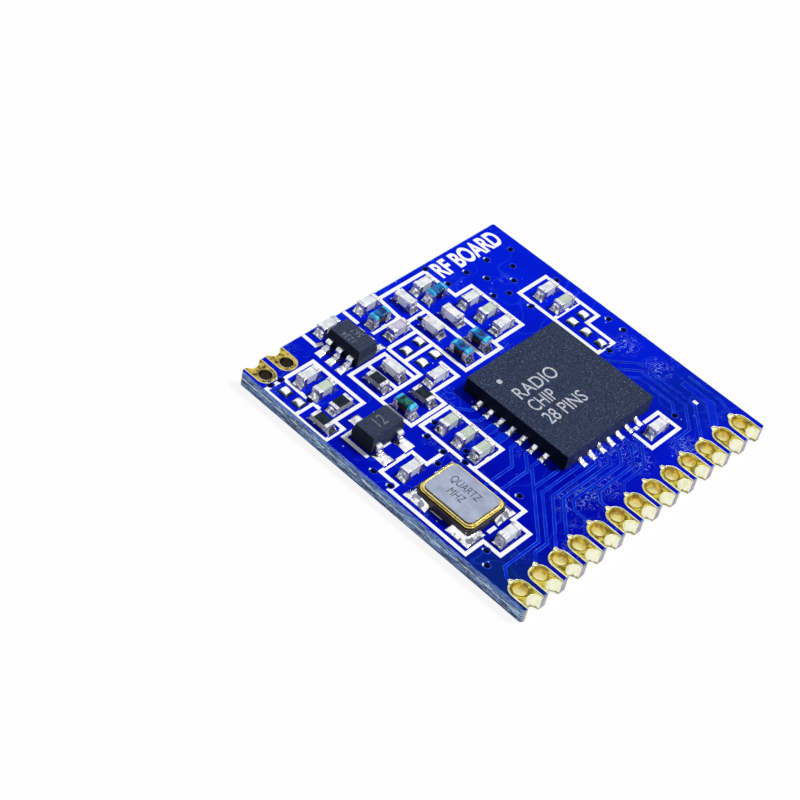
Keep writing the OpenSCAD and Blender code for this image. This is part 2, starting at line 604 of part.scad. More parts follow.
// Solder seen from the side: a film under the terminal and a hollow fillet up its end face
function fillet_profile(under, out, h, n = 5) = concat(
    [[-under, 0], [out, 0]],
    [for (k = [0:n]) let (a = 90 * k / n) [out * (1 - sin(a)), solder_t + h * (1 - cos(a))]],
    [[0, solder_t], [-under, solder_t]]);
module solder_wedge(under, out, h, w) translate([0, w / 2, 0]) rotate([90, 0, 0])
    linear_extrude(w) polygon(fillet_profile(under, out, h));
fillet_out = land_off + land_l / 2 - chip_part_l / 2;
module passive_solder(list, under, h) for (p = list, s = [0, 1])
    translate([p[0], p[1], board_t]) rotate(90 * p[2] + 180 * s) translate([chip_part_l / 2, 0, 0])
        solder_wedge(under, fillet_out, h, chip_part_w);

foot_flat = 0.14;
foot_solder_inset = 0.04;
module foot_solder(f) translate([f[0], f[1], board_t]) rotate(90 * f[2])
    translate([lead_reach, 0, 0])
        solder_wedge(foot_flat, foot_off + foot_land_l / 2 - lead_reach, lead_t,
            f[3] - 2 * foot_solder_inset);

// Solder at one corner of the crystal: a film under it and a fillet up each of the two sides
crystal_reach = [crystal_w / 2, crystal_l / 2];
crystal_land_in = crystal_land_gap / 2;
crystal_film = crystal_reach - crystal_land_in;
crystal_fillet_out = crystal_land_in + crystal_land - crystal_reach;
crystal_fillet_under = 0.1;
module crystal_fillet(side) solder_wedge(crystal_fillet_under, crystal_fillet_out[side],
    crystal_fillet_h, crystal_film[1 - side] - 2 * crystal_corner_r);
module crystal_corner_solder() {
    translate(crystal_land_in) cube([crystal_film[0], crystal_film[1], solder_t]);
    translate([crystal_reach[0], crystal_land_in[1] + crystal_film[1] / 2]) crystal_fillet(0);
    translate([crystal_land_in[0] + crystal_film[0] / 2, crystal_reach[1]]) rotate(90) crystal_fillet(1);
}
module crystal_solder() translate([crystal_at[0], crystal_at[1], board_t])
    for (turned_x = [0, 1], turned_y = [0, 1])
        mirror([turned_x, 0]) mirror([0, turned_y]) crystal_corner_solder();

module part_solder() color("gainsboro") {
    passive_solder(capacitors, terminal_l, fillet_h);
    passive_solder(resistors, terminal_l, resistor_fillet_h);
    passive_solder(inductors, foot_l, fillet_h);
    for (f = concat(switch_feet, transistor_feet)) foot_solder(f);
    crystal_solder();
}

module chip_solder() color("gainsboro") {
    translate([chip_x, chip_y, board_t]) for (turn = [0:3], i = [0:chip_side_count - 1])
        rotate(90 * turn) translate([chip_w / 2, contact_at(i), 0])
            solder_wedge(contact_l, chip_land_out, contact_t, contact_w);
    translate([chip_x - heat_pad_w / 2, chip_y - heat_pad_w / 2, board_t])
        cube([heat_pad_w, heat_pad_w, solder_t]);
}

// Solder domes: caps of a sphere on each spare land
dome_r = (pow(land_l / 2, 2) + pow(dome_h, 2)) / (2 * dome_h);
module spare_land_solder() color("gainsboro") for (p = spare_lands)
    translate([p[0], p[1], board_t]) intersection() {
        translate([0, 0, dome_h - dome_r]) sphere(dome_r);
        translate([-land_w, -land_w, 0]) cube([2 * land_w, 2 * land_w, dome_h + 1]);
    }

laminate();
solder_mask_top();
solder_mask_bottom();
castellated_pads();
antenna_pads();
plated_vias();
part_lands();
track_ridges();
white_legend();
radio_chip_body();
radio_chip_contacts();
crystal_base();
crystal_seal_ring();
crystal_lid();
switch_body();
switch_leads();
transistor_body();
transistor_leads();
capacitor_terminals();
resistor_coats();
resistor_terminals();
inductor_coatings();
inductor_windings();
inductor_terminals();
chip_solder();
part_solder();
spare_land_solder();
for (i = [0:len(capacitors) - 1])
    capacitor(capacitors[i]);
for (i = [0:len(resistors) - 1])
    resistor(resistors[i]);
for (i = [0:len(inductors) - 1])
    inductor(inductors[i]);
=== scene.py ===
import json
import math
import random

import bmesh
import bpy
from mathutils import Matrix, Vector, noise


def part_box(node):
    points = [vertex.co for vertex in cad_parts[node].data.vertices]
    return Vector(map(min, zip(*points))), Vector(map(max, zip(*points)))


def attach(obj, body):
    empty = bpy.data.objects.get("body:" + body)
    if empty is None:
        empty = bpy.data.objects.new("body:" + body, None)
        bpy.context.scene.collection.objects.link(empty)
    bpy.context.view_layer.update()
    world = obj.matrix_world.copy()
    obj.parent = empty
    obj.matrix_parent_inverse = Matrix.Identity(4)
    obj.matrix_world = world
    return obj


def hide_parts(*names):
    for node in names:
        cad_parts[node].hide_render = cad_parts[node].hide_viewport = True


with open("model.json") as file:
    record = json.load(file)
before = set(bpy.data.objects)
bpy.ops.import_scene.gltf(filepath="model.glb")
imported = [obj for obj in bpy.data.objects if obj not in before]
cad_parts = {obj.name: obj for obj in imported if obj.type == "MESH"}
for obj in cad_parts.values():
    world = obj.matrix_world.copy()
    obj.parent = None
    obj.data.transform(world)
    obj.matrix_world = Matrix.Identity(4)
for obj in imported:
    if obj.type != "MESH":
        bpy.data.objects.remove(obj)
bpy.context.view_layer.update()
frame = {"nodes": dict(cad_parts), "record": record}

MM = 0.001
NODES = frame["nodes"]
RNG = random.Random(11)

# Main levels and sizes, read from the frame
BOARD_LOW, BOARD_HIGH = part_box("laminate")
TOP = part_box("solder_mask_top")[1].z
CHIP_LOW, CHIP_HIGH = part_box("radio_chip_body")
LID_LOW, LID_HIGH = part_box("crystal_lid")
MOUNTS = {mount["name"]: Vector(mount["pos_m"]) for mount in frame["record"]["mounts"]}
PIN_PITCH = (MOUNTS["pin_hole_13"].x - MOUNTS["pin_hole_1"].x) / 12

# Points closer together than this are one corner
WELD = 0.0005 * MM


def names(start):
    """Names of the nodes whose name is start and a number."""
    return sorted(n for n in NODES if n.startswith(start + "_") and n[len(start) + 1:].isdigit())


CAPACITORS = names("capacitor")
RESISTORS = names("resistor")
INDUCTORS = names("inductor")
LILAC_CAPACITOR = "capacitor_5"


# Camera: a long lens over the board's left front corner, turned a little about its own axis
CAMERA_AT = Vector((-53.8, -31.2, 61.18)) * MM
CAMERA_RIGHT = Vector((0.685, -0.7097, 0.1647))
CAMERA_UP = Vector((0.436, 0.5805, 0.6877))
FOCAL_IN_WIDTHS = 1952.56 / 800
SENSOR = 36.0


def add_camera():
    data = bpy.data.cameras.new("camera")
    data.sensor_width = SENSOR
    data.lens = FOCAL_IN_WIDTHS * SENSOR
    data.clip_start = 0.001
    data.clip_end = 10.0
    camera = bpy.data.objects.new("camera", data)
    bpy.context.scene.collection.objects.link(camera)
    right = CAMERA_RIGHT.normalized()
    back = right.cross(CAMERA_UP).normalized()
    up = back.cross(right)
    turn = Matrix((right, up, back)).transposed().to_4x4()
    camera.matrix_world = Matrix.Translation(CAMERA_AT) @ turn
    bpy.context.scene.camera = camera


# Materials

class Shader:
    """A material and short calls that add nodes to it. Textures use the frame's millimetres."""

    def __init__(self, name, roughness=0.5, metallic=0.0, specular=0.5):
        self.material = bpy.data.materials.new(name)
        self.material.use_nodes = True
        self.tree = self.material.node_tree
        self.nodes = self.tree.nodes
        self.surface = self.nodes["Principled BSDF"]
        self.surface.inputs["Roughness"].default_value = roughness
        self.surface.inputs["Metallic"].default_value = metallic
        self.surface.inputs["Specular IOR Level"].default_value = specular
        self.place = self.nodes.new("ShaderNodeTexCoord").outputs["Object"]

    def link(self, value, socket):
        if isinstance(value, bpy.types.NodeSocket):
            self.tree.links.new(value, socket)
        else:
            socket.default_value = value

    def millimetres(self, stretch=(1, 1, 1), shift=(0, 0, 0)):
        node = self.nodes.new("ShaderNodeMapping")
        node.inputs["Scale"].default_value = [s / MM for s in stretch]
        node.inputs["Location"].default_value = shift
        self.tree.links.new(self.place, node.inputs["Vector"])
        return node.outputs["Vector"]

    def noise(self, scale, detail=3.0, rough=0.5, warp=0.0, stretch=(1, 1, 1), shift=(0, 0, 0)):
        node = self.nodes.new("ShaderNodeTexNoise")
        node.inputs["Scale"].default_value = scale
        node.inputs["Detail"].default_value = detail
        node.inputs["Roughness"].default_value = rough
        node.inputs["Distortion"].default_value = warp
        self.tree.links.new(self.millimetres(stretch, shift), node.inputs["Vector"])
        return node.outputs["Fac"]

    def cells(self, scale):
        node = self.nodes.new("ShaderNodeTexVoronoi")
        node.inputs["Scale"].default_value = scale
        self.tree.links.new(self.millimetres(), node.inputs["Vector"])
        return node.outputs["Distance"]

    def ramp(self, value, *stops):
        """Maps a value to greys: each stop is (place, grey)."""
        node = self.nodes.new("ShaderNodeValToRGB")
        while len(node.color_ramp.elements) < len(stops):
            node.color_ramp.elements.new(1.0)
        for element, (place, grey) in zip(node.color_ramp.elements, stops):
            element.position = place
            element.color = (grey, grey, grey, 1)
        self.link(value, node.inputs["Fac"])
        return node.outputs["Color"]

    def math(self, operation, a, b=0.0):
        node = self.nodes.new("ShaderNodeMath")
        node.operation = operation
        self.link(a, node.inputs[0])
        self.link(b, node.inputs[1])
        return node.outputs[0]

    def mix(self, fac, a, b):
        """Colour a where fac is 0 and colour b where it is 1."""
        node = self.nodes.new("ShaderNodeMix")
        node.data_type = "RGBA"
        self.link(fac, node.inputs["Factor"])
        self.link(a if isinstance(a, bpy.types.NodeSocket) else (*a, 1), node.inputs["A"])
        self.link(b if isinstance(b, bpy.types.NodeSocket) else (*b, 1), node.inputs["B"])
        return node.outputs["Result"]

    def blend(self, value, low, high, a, b):
        """Colour a up to where the value is low, turning to colour b where it is high."""
        return self.mix(self.ramp(value, (low, 0), (high, 1)), a, b)

    def normal(self, axis):
        geometry = self.nodes.new("ShaderNodeNewGeometry")
        split = self.nodes.new("ShaderNodeSeparateXYZ")
        self.tree.links.new(geometry.outputs["Normal"], split.inputs[0])
        return split.outputs[axis]

    def position(self, axis):
        split = self.nodes.new("ShaderNodeSeparateXYZ")
        self.tree.links.new(self.millimetres(), split.inputs[0])
        return split.outputs[axis]

    def near(self, places, radius):
        """1 at each of the places (x, y) in millimetres, falling to 0 at the radius."""
        total = 0.0
        for x, y in places:
            dx = self.math("SUBTRACT", self.position("X"), x)
            dy = self.math("SUBTRACT", self.position("Y"), y)
            away = self.math("SQRT", self.math("ADD", self.math("MULTIPLY", dx, dx),
                                               self.math("MULTIPLY", dy, dy)))
            inside = self.ramp(self.math("DIVIDE", away, radius), (0.3, 1), (1.0, 0))
            total = self.math("MAXIMUM", inside, total)
        return total

    def colour(self, value):
        self.link(value if isinstance(value, bpy.types.NodeSocket) else (*value, 1),
                  self.surface.inputs["Base Color"])

    def roughness(self, value):
        self.link(value, self.surface.inputs["Roughness"])

    def bump(self, height, depth):
        """Bumps of the given depth in millimetres."""
        node = self.nodes.new("ShaderNodeBump")
        node.inputs["Distance"].default_value = depth * MM
        node.inputs["Strength"].default_value = 1.0
        self.tree.links.new(height, node.inputs["Height"])
        last = self.surface.inputs["Normal"]
        if last.is_linked:
            self.tree.links.new(last.links[0].from_socket, node.inputs["Normal"])
        self.tree.links.new(node.outputs["Normal"], last)


# Places on the board, in millimetres, where flux has dried in pale squiggles
FLUX_MARKS = ((-2.5, -5.7), (-1.6, -6.0), (-0.4, -6.2), (0.8, -4.8), (1.9, -5.3), (1.9, -6.2),
              (4.3, -6.9), (4.6, -1.2), (-6.2, -2.0), (7.2, -1.1), (7.2, -3.0))


# Painted shade, where the mask is darker: two places on the board and their radii in millimetres, and how
# much
PAINTED_SHADE_PATCHES = (((-8.2, -6.9), 3.2, 0.9), ((6.9, -4.9), 2.6, 0.45))


def mask_material(name, deep, bright, flux_and_glints, marks):
    """Glossy blue solder mask: specks, painted shade, flux and faint painted highlight on copper edges;
    the last two scaled by the strength given.
    """
    s = Shader(name, roughness=0.3, specular=0.012)
    slope = s.math("MULTIPLY", s.math("ADD", s.position("X"), s.position("Y")), 0.03)
    base = s.mix(s.ramp(s.math("ADD", s.noise(0.35, 2), slope), (0.15, 0), (0.85, 1)), deep, bright)
    # Painted shade: round each place the mask turns towards a deep navy
    for place, radius, amount in PAINTED_SHADE_PATCHES:
        base = s.mix(s.math("MULTIPLY", s.near((place,), radius), amount), base, (0.002, 0.018, 0.16))
    # Painted highlight: faint pale lines along the edges of the copper under the mask
    pour = s.noise(0.42, 1, shift=(3, 5, 0))
    pour_edge_glints = s.ramp(pour, (0.49, 0), (0.497, 1), (0.503, 1), (0.51, 0))
    base = s.mix(s.math("MULTIPLY", pour_edge_glints, 0.22 * flux_and_glints), base, (0.02, 0.09, 0.8))
    flux_place = s.ramp(s.noise(0.5, 2, shift=(9, 2, 4)), (0.56, 0), (0.66, 1))
    flux_line = s.ramp(s.noise(2.6, 3, 0.6, 0.6), (0.475, 0), (0.5, 1), (0.525, 0))
    base = s.mix(s.math("MULTIPLY", s.math("MULTIPLY", flux_place, flux_line), 0.35 * flux_and_glints), base,
                 (0.12, 0.25, 0.85))
    stain = s.ramp(s.noise(2.2, 3, 0.6, 1.6, shift=(6, 1, 3)), (0.484, 0), (0.5, 1), (0.516, 0))
    base = s.mix(s.math("MULTIPLY", s.near(marks, 0.85), stain), base, (0.36, 0.54, 0.98))
    specks = s.ramp(s.cells(1.9), (0.04, 1), (0.075, 0))
    some = s.ramp(s.noise(1.1, 1, shift=(2, 8, 1)), (0.46, 0), (0.56, 1))
    base = s.mix(s.math("MULTIPLY", specks, some), base, (0.45, 0.6, 1.0))
    s.colour(base)
    s.roughness(s.ramp(s.noise(6, 3), (0.3, 0.24), (0.7, 0.4)))
    s.bump(s.noise(1.2, 3), 0.012)
    s.bump(s.noise(22, 2), 0.0012)
    return s.material


def laminate_material():
    """Sawn edge of glass cloth and resin: long streaks, pale glints and a lavender-grey front."""
    s = Shader("laminate", roughness=0.45, specular=0.3)
    cloth = s.noise(1.0, 4, 0.6, 0.5, stretch=(0.5, 0.5, 6.5))
    fibre = s.noise(1.0, 4, 0.7, 0.4, stretch=(1.3, 1.3, 14), shift=(1, 3, 2))
    flecks = s.noise(1.0, 3, 0.7, stretch=(5, 5, 20), shift=(7, 2, 5))
    side = s.blend(cloth, 0.44, 0.56, (0.019, 0.05, 0.17), (0.095, 0.2, 0.49))
    side = s.blend(fibre, 0.54, 0.58, side, (0.37, 0.64, 0.98))
    side = s.blend(flecks, 0.58, 0.64, side, (0.68, 0.87, 1.0))
    side = s.mix(s.ramp(fibre, (0.4, 1), (0.45, 0)), side, (0.011, 0.03, 0.09))
    height = s.position("Z")
    # Painted highlight: a pale, broken line of glints along the middle of the sawn edge
    wander = s.math("MULTIPLY", s.noise(1.0, 3, 0.6, stretch=(0.8, 0.8, 0.8), shift=(5, 5, 2)), 0.35)
    glint_band = s.ramp(s.math("ADD", height, wander), (0.57, 0), (0.585, 1), (0.625, 1), (0.64, 0))
    broken = s.ramp(s.noise(1.0, 3, 0.6, stretch=(2.5, 2.5, 6), shift=(3, 6, 1)), (0.42, 0), (0.5, 1))
    side = s.mix(s.math("MULTIPLY", glint_band, broken), side, (0.85, 0.95, 1.0))
    side = s.blend(height, 0.62, 0.68, side, (0.04, 0.13, 0.62))
    # Pale flecks towards the top of the sawn edge
    upper = s.ramp(height, (0.7, 0), (0.74, 1))
    upper_flecks = s.math("MULTIPLY", upper, s.ramp(flecks, (0.42, 0), (0.5, 1)))
    side = s.mix(upper_flecks, side, (0.48, 0.7, 1.0))
    front = s.blend(cloth, 0.4, 0.6, (0.3, 0.29, 0.36), (0.46, 0.44, 0.52))
    facing_front = s.ramp(s.math("MULTIPLY", s.normal("Y"), -1.0), (0.4, 0), (0.8, 1))
    s.colour(s.mix(facing_front, side, front))
    s.roughness(s.ramp(fibre, (0.4, 0.5), (0.65, 0.25)))
    s.bump(cloth, 0.03)
    s.bump(fibre, 0.015)
    return s.material


def legend_material():
    """White ink, a little uneven."""
    s = Shader("legend_ink", roughness=0.55, specular=0.3)
    s.colour(s.blend(s.noise(5, 3), 0.35, 0.75, (0.93, 0.94, 0.97), (0.98, 0.98, 1.0)))
    s.bump(s.noise(14, 3), 0.006)
    return s.material


def track_material():
    """Mask over a copper track: a little lighter than the mask beside it."""
    s = Shader("track_mask", roughness=0.3, specular=0.03)
    s.colour(s.blend(s.noise(1.6, 3), 0.35, 0.65, (0.0, 0.01, 0.52), (0.001, 0.024, 0.66)))
    s.bump(s.noise(8, 2), 0.003)
    return s.material


def edge_glint_material(name, deep, pale):
    """Painted highlight along an edge of the mask, pale in places."""
    s = Shader(name, roughness=0.28, specular=0.08)
    s.colour(s.blend(s.noise(1.3, 3, 0.7), 0.35, 0.7, deep, pale))
    s.bump(s.noise(9, 2), 0.003)
    return s.material


def gold_material(name, dull, clear, rough=0.32):
    """Plated gold with an olive mottle and fine pits."""
    s = Shader(name, roughness=rough, metallic=0.85)
    mottle = s.noise(2.2, 4, 0.6)
    s.colour(s.blend(mottle, 0.35, 0.65, dull, clear))
    s.roughness(s.ramp(s.noise(5, 3), (0.3, rough - 0.08), (0.7, rough + 0.12)))
    s.bump(mottle, 0.02)
    s.bump(s.noise(26, 3), 0.003)
    return s.material


# How far towards the board's edge from a pad's hole, in millimetres, its notch begins
NOTCH_FROM_HOLE = 0.385


def pad_material(name, hole_at, pitch, face_tones, hole_tones, notch_tones):
    """Gold pads on one pitch: mottled faces with a pale border, partly painted highlight, and a dark line
    round each hole.

    The tones are dull, clear, border and hole line for the faces, dull, clear and deep for the
    holes, the deep one painted towards their foot, and dull, clear and foot for the notches.
    """
    s = Shader(name, roughness=0.34, metallic=0.75)
    mottle = s.noise(3.4, 4, 0.6)
    clouds = s.ramp(mottle, (0.42, 0), (0.58, 1))
    steps = s.math("DIVIDE", s.math("SUBTRACT", s.position("X"), hole_at[0]), pitch)
    dx = s.math("MULTIPLY", s.math("SUBTRACT", steps, s.math("ROUND", steps)), pitch)
    dy = s.math("SUBTRACT", s.position("Y"), hole_at[1])
    inward = s.math("MAXIMUM", s.math("MULTIPLY", dy, -1 if hole_at[1] > 0 else 1), 0.0)
    square = s.math("MULTIPLY", dx, dx)
    round_hole = s.math("SQRT", s.math("ADD", square, s.math("MULTIPLY", dy, dy)))
    from_middle = s.math("SQRT", s.math("ADD", square, s.math("MULTIPLY", inward, inward)))
    face = s.mix(clouds, *face_tones[:2])
    # Painted highlight in part: each face turns pale towards its border
    face = s.blend(from_middle, 0.43, 0.48, face, face_tones[2])
    face = s.mix(s.ramp(round_hole, (0.35, 1), (0.38, 0)), face, face_tones[3])
    # Painted light and shade down each hole: its wall turns to the deep tone towards its foot
    depth = s.ramp(s.position("Z"), (0.2, 1), (0.72, 0))
    hole = s.mix(clouds, *hole_tones[:2])
    hole = s.mix(depth, hole, hole_tones[2])
    streaks = s.noise(1.0, 3, 0.6, stretch=(7, 7, 1.5), shift=(4, 4, 4))
    notch = s.blend(streaks, 0.36, 0.5, *notch_tones[:2])
    notch = s.mix(s.ramp(s.math("ADD", s.position("Z"), s.math("MULTIPLY", streaks, 0.3)),
                         (0.2, 1), (0.3, 0)), notch, notch_tones[2])
    up = s.ramp(s.math("ABSOLUTE", s.normal("Z")), (0.5, 0), (0.8, 1))
    past_hole = s.math("MULTIPLY", dy, -1 if hole_at[1] > 0 else 1)
    at_edge = s.math("LESS_THAN", past_hole, -NOTCH_FROM_HOLE)
    s.colour(s.mix(up, s.mix(at_edge, hole, notch), face))
    s.bump(mottle, 0.013)
    s.bump(s.noise(24, 3), 0.003)
    return s.material


def tin_material(name, base=(0.78, 0.79, 0.82), rough=0.2, lumps=0.02, shade=0.5,
                 dark=(0.07, 0.08, 0.13), patch=6.5, metallic=1.0):
    """Tinned metal with soft lumps and fine grain, and patches of painted dark reflection and shade,
    mostly where it slopes.
    """
    s = Shader(name, roughness=rough, metallic=metallic)
    tone = s.blend(s.noise(4, 3), 0.35, 0.65, [c * 0.8 for c in base], base)
    # Painted dark reflection and shade: patches of the dark tone, more of them where the surface slopes
    slope = s.ramp(s.math("ABSOLUTE", s.normal("Z")), (0.55, 0.16), (0.95, 0.0))
    painted_dark_amount = s.math("ADD", s.noise(patch, 2, 0.5, shift=(3, 9, 5)), slope)
    patches = s.ramp(painted_dark_amount, (0.56, 0), (0.62, 1))
    s.colour(s.mix(s.math("MULTIPLY", patches, shade), tone, dark))
    s.roughness(s.ramp(s.noise(7, 3), (0.3, rough * 0.6), (0.7, rough * 1.7)))
    s.bump(s.noise(5, 3), lumps)
    s.bump(s.noise(30, 2), 0.002)
    return s.material


def domed_solder_material():
    """A bead of solder: bright on its crown, with painted shade and dark reflection down its sides."""
    s = Shader("solder_domed", roughness=0.16, metallic=1.0)
    # Painted shade: the sloping sides turn dark
    slope = s.math("ADD", s.math("ABSOLUTE", s.normal("Z")), s.math("MULTIPLY", s.noise(5, 2), 0.3))
    s.colour(s.blend(slope, 0.88, 1.0, (0.05, 0.08, 0.1), (0.95, 0.96, 0.98)))
    s.roughness(s.ramp(s.noise(7, 3), (0.3, 0.12), (0.7, 0.3)))
    s.bump(s.noise(5, 3), 0.02)
    return s.material


def chip_material():
    """Dark moulding: pale filler specks on its top, grained sides, and painted shade that makes it nearly
    black towards -X.
    """
    s = Shader("chip_moulding", roughness=0.62, specular=0.08)
    grain = s.noise(13, 4, 0.75)
    top = s.blend(grain, 0.4, 0.6, (0.003, 0.008, 0.026), (0.036, 0.057, 0.12))
    specks = s.ramp(s.noise(17, 2, 0.8, shift=(4, 1, 7)), (0.62, 0), (0.7, 1))
    top = s.mix(specks, top, (0.28, 0.31, 0.4))
    patches = s.ramp(s.noise(0.7, 3), (0.35, 0), (0.7, 1))
    top = s.mix(s.math("MULTIPLY", patches, 0.35), top, (0.03, 0.045, 0.075))
    side = s.blend(grain, 0.4, 0.65, (0.006, 0.013, 0.045), (0.048, 0.072, 0.215))
    # Painted shade: faces towards -X turn nearly black
    painted_shade = s.ramp(s.math("MULTIPLY", s.normal("X"), -1.0), (0.2, 0), (0.6, 1))
    side = s.mix(painted_shade, side, (0.0008, 0.003, 0.011))
    s.colour(s.blend(s.normal("Z"), 0.3, 0.7, side, top))
    s.bump(grain, 0.012)
    return s.material


def moulding_material(name):
    """Matt dark moulding of the small leaded bodies, with painted shade that makes it nearly black towards
    -X.
    """
    s = Shader(name, roughness=0.5, specular=0.12)
    grain = s.noise(16, 4, 0.7)
    tone = s.blend(grain, 0.35, 0.68, (0.009, 0.013, 0.03), (0.05, 0.069, 0.135))
    # Painted shade: faces towards -X turn nearly black
    painted_shade = s.ramp(s.math("MULTIPLY", s.normal("X"), -1.0), (0.2, 0), (0.6, 1))
    s.colour(s.mix(painted_shade, tone, (0.0012, 0.004, 0.014)))
    s.bump(grain, 0.008)
    return s.material


def ceramic_material(name, pale, grey, side=None):
    """Fired ceramic: satin, cloudy, with small pits, and painted light turning its sides towards another
    tone if one is given.
    """
    s = Shader(name, roughness=0.42, specular=0.4)
    tone = s.blend(s.noise(2.8, 4, 0.6), 0.32, 0.62, grey, pale)
    if side:
        # Painted light: upright sides are lifted towards the paler, bluer side tone
        painted_side_light = s.ramp(s.math("ABSOLUTE", s.normal("Z")), (0.4, 0.75), (0.8, 0))
        tone = s.mix(painted_side_light, tone, side)
    s.colour(tone)
    s.bump(s.noise(12, 3), 0.006)
    return s.material


def lid_material():
    """Nickel lid: fine brushing along its length, faint blotches."""
    s = Shader("crystal_lid_metal", roughness=0.42, metallic=0.55)
    brushed = s.noise(1.0, 3, 0.6, stretch=(26, 2.2, 10))
    tone = s.blend(s.noise(1.6, 3), 0.3, 0.7, (0.24, 0.28, 0.39), (0.35, 0.4, 0.53))
    bright = s.math("MULTIPLY", s.ramp(brushed, (0.4, 0), (0.7, 1)), 0.4)
    s.colour(s.mix(bright, tone, (0.48, 0.54, 0.66)))
    s.bump(brushed, 0.004)
    s.bump(s.noise(9, 3), 0.006)
    return s.material


def resin_material(name, deep, pale):
    """Glossy coloured resin, clouded between two tones."""
    s = Shader(name, roughness=0.22, specular=0.2)
    s.colour(s.blend(s.noise(4.5, 3), 0.4, 0.62, deep, pale))
    s.bump(s.noise(6, 2), 0.012)
    return s.material


def wire_material():
    """Enamelled wire with a coppery tinge, darkened nearly to black by painted shade."""
    s = Shader("winding_copper", roughness=0.35, metallic=0.7)
    s.colour(s.blend(s.noise(6, 3), 0.4, 0.65, (0.01, 0.008, 0.013), (0.085, 0.04, 0.026)))
    s.bump(s.noise(20, 2), 0.004)
    return s.material


def coat_material():
    """Nearly black glaze of the resistors."""
    s = Shader("resistor_coat_glaze", roughness=0.4, specular=0.1)
    s.colour(s.blend(s.noise(7, 3), 0.4, 0.7, (0.002, 0.007, 0.013), (0.011, 0.03, 0.05)))
    s.bump(s.noise(10, 3), 0.006)
    return s.material


def marking_material(name, dull, clear):
    """Laser or ink marking with an uneven, grainy tone."""
    s = Shader(name, roughness=0.7, specular=0.2)
    s.colour(s.blend(s.noise(13, 3, 0.7), 0.35, 0.6, dull, clear))
    s.bump(s.noise(18, 3), 0.004)
    return s.material


def ring_material():
    """Gold on the seal ring's top, dark down its sides."""
    s = Shader("gold_ring", roughness=0.28, metallic=0.85)
    top = s.blend(s.noise(3.5, 3), 0.35, 0.65, (0.5, 0.36, 0.05), (0.95, 0.78, 0.25))
    side = s.blend(s.noise(5, 3), 0.4, 0.6, (0.03, 0.015, 0.004), (0.2, 0.12, 0.02))
    s.colour(s.blend(s.normal("Z"), 0.3, 0.6, side, top))
    s.bump(s.noise(8, 3), 0.01)
    return s.material


def via_material():
    """Via barrels: a painted highlight at the mouth and painted shade inside."""
    s = Shader("via_barrel", roughness=0.4, metallic=0.2, specular=0.2)
    # Painted shade deep in the barrel; the mouth's paler tone is a painted highlight
    inside = s.blend(s.noise(4, 2), 0.3, 0.7, (0.001, 0.002, 0.006), (0.008, 0.016, 0.02))
    s.colour(s.blend(s.position("Z"), 0.62, 0.72, inside, (0.03, 0.08, 0.16)))
    s.bump(s.noise(9, 2), 0.01)
    return s.material


# Frame nodes: a better material in every slot, and small rounds on the sharp edges of six of them

# Edges that turn by more than this are sharp
SHARP = math.radians(40)
ROUND_STEPS = 2


def dress(node, material):
    data = NODES[node].data
    if not data.materials:
        data.materials.append(material)
    for index in range(len(data.materials)):
        data.materials[index] = material


def soften(node, width):
    """Small rounds on a node's sharp edges, as modifiers that leave its own mesh alone."""
    o = NODES[node]
    weld = o.modifiers.new("weld", "WELD")
    weld.merge_threshold = WELD
    bevel = o.modifiers.new("round", "BEVEL")
    bevel.width = width * MM
    bevel.segments = ROUND_STEPS
    bevel.limit_method = "ANGLE"
    bevel.angle_limit = SHARP
    bevel.harden_normals = True


def dress_pads():
    pitch = PIN_PITCH / MM
    dress("castellated_pads", pad_material(
        "pad_gold", MOUNTS["pin_hole_1"] / MM, pitch,
        ((0.15, 0.115, 0.003), (0.58, 0.5, 0.06), (1.0, 0.98, 0.66), (0.12, 0.07, 0.003)),
        # Pin holes: a painted pool of light towards their foot
        ((0.36, 0.17, 0.002), (0.95, 0.68, 0.06), (1.0, 0.98, 0.5)),
        ((0.9, 0.88, 0.52), (1.0, 1.0, 0.8), (0.3, 0.27, 0.08))))
    dress("antenna_pads", pad_material(
        "antenna_gold", MOUNTS["antenna_hole_1"] / MM, pitch,
        ((0.06, 0.035, 0.004), (0.62, 0.48, 0.08), (0.7, 0.58, 0.18), (0.03, 0.02, 0.003)),
        # Antenna holes: painted shade deep inside
        ((0.006, 0.004, 0.001), (0.05, 0.035, 0.006), (0.02, 0.014, 0.003)),
        ((0.2, 0.15, 0.03), (0.6, 0.5, 0.16), (0.2, 0.16, 0.06))))


